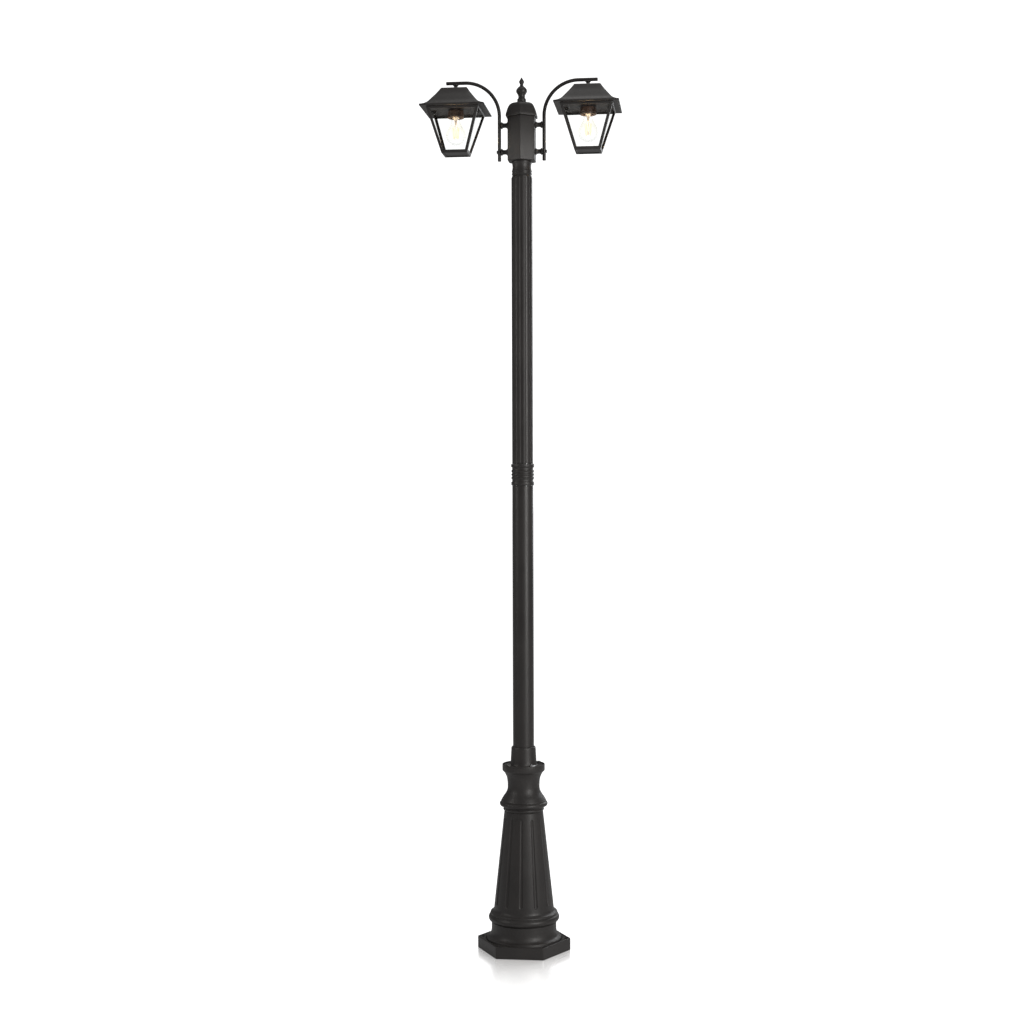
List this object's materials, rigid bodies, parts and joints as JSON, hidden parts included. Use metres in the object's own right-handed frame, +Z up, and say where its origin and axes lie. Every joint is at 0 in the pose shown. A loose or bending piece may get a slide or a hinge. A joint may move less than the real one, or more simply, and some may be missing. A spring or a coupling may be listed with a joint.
{
  "type": "street lamp post",
  "caption": "Free-standing street lamp post: hexagonal plinth, fluted pedestal, two-part pole and hipped square lanterns hung from curved arms on a hexagonal head.",
  "frame": {"origin": "centre of the base's underside, on the pole's axis, at ground level", "axes": "+Z up along the pole; the two arms reach along -X (left) and +X (right); -Y is the front, with a flat of the plinth facing it"},
  "size_m": [0.563, 0.2316, 2.488],
  "materials": {
    "powder_coat": "fine-textured matt black powder coat on cast and drawn aluminium",
    "bare_aluminium": "mill finish",
    "zinc_steel": "zinc plated",
    "thumb_screw": "blackened, knurled head",
    "cable_sheath": "matt sheath",
    "terminal_plastic": "matt moulded",
    "holder_plastic": "satin moulded",
    "pane_glass": "clear, faintly rippled",
    "bulb_glass": "clear, warm",
    "bulb_cap": "bright"
  },
  "bodies": {
    "post": {"base_plinth": "powder_coat", "pedestal_cone": "powder_coat", "pedestal_neck": "powder_coat", "post_socket": "powder_coat", "socket_bolt_front_right": "zinc_steel", "socket_bolt_front_left": "zinc_steel", "socket_bolt_rear_right": "zinc_steel", "socket_bolt_rear_left": "zinc_steel", "lower_tube": "powder_coat", "joint_spigot": "bare_aluminium", "joint_collar": "powder_coat", "upper_tube": "powder_coat", "top_collar": "powder_coat", "head_body": "powder_coat", "terminal_strip": "terminal_plastic", "supply_cable": "cable_sheath", "left_arm": "powder_coat", "left_upper_spacer": "powder_coat", "left_lower_spacer": "powder_coat", "left_arm_screw": "zinc_steel", "left_arm_lead": "cable_sheath", "right_arm": "powder_coat", "right_upper_spacer": "powder_coat", "right_lower_spacer": "powder_coat", "right_arm_screw": "zinc_steel", "right_arm_lead": "cable_sheath"},
    "head_cap": {"head_cap": "powder_coat", "finial": "powder_coat", "finial_nut": "zinc_steel"},
    "left_lantern": {"left_hanger_stem": "powder_coat", "left_roof": "powder_coat", "left_ceiling_plate": "powder_coat", "left_lamp_holder": "holder_plastic", "left_holder_lead": "cable_sheath"},
    "left_cage": {"left_cage_frame": "powder_coat", "left_front_pane": "pane_glass", "left_outer_pane": "pane_glass", "left_rear_pane": "pane_glass", "left_inner_pane": "pane_glass", "left_floor_plate": "powder_coat", "left_inner_thumb_screw": "thumb_screw", "left_outer_thumb_screw": "thumb_screw"},
    "left_bulb": {"left_bulb_glass": "bulb_glass", "left_bulb_cap": "bulb_cap"},
    "right_lantern": {"right_hanger_stem": "powder_coat", "right_roof": "powder_coat", "right_ceiling_plate": "powder_coat", "right_lamp_holder": "holder_plastic", "right_holder_lead": "cable_sheath"},
    "right_cage": {"right_cage_frame": "powder_coat", "right_front_pane": "pane_glass", "right_outer_pane": "pane_glass", "right_rear_pane": "pane_glass", "right_inner_pane": "pane_glass", "right_floor_plate": "powder_coat", "right_inner_thumb_screw": "thumb_screw", "right_outer_thumb_screw": "thumb_screw"},
    "right_bulb": {"right_bulb_glass": "bulb_glass", "right_bulb_cap": "bulb_cap"}
  },
  "joints": [
    {"name": "head_cap_lift", "type": "slide", "parent": "post", "child": "head_cap", "axis": [0, 0, 1], "range_m": [0, 0.06]},
    {"name": "left_lantern_swivel", "type": "hinge", "parent": "post", "child": "left_lantern", "pos_m": [-0.1895, 0, 2.4722], "axis": [0, 0, 1], "range_deg": [-25, 25]},
    {"name": "left_cage_drop", "type": "slide", "parent": "left_lantern", "child": "left_cage", "axis": [0, 0, -1], "range_m": [0, 0.12]},
    {"name": "left_bulb_turn", "type": "hinge", "parent": "left_lantern", "child": "left_bulb", "pos_m": [-0.1895, 0, 2.39], "axis": [0, 0, -1], "range_deg": [0, 1260]},
    {"name": "right_lantern_swivel", "type": "hinge", "parent": "post", "child": "right_lantern", "pos_m": [0.1895, 0, 2.4722], "axis": [0, 0, 1], "range_deg": [-25, 25]},
    {"name": "right_cage_drop", "type": "slide", "parent": "right_lantern", "child": "right_cage", "axis": [0, 0, -1], "range_m": [0, 0.12]},
    {"name": "right_bulb_turn", "type": "hinge", "parent": "right_lantern", "child": "right_bulb", "pos_m": [0.1895, 0, 2.39], "axis": [0, 0, -1], "range_deg": [0, 1260]}
  ]
}
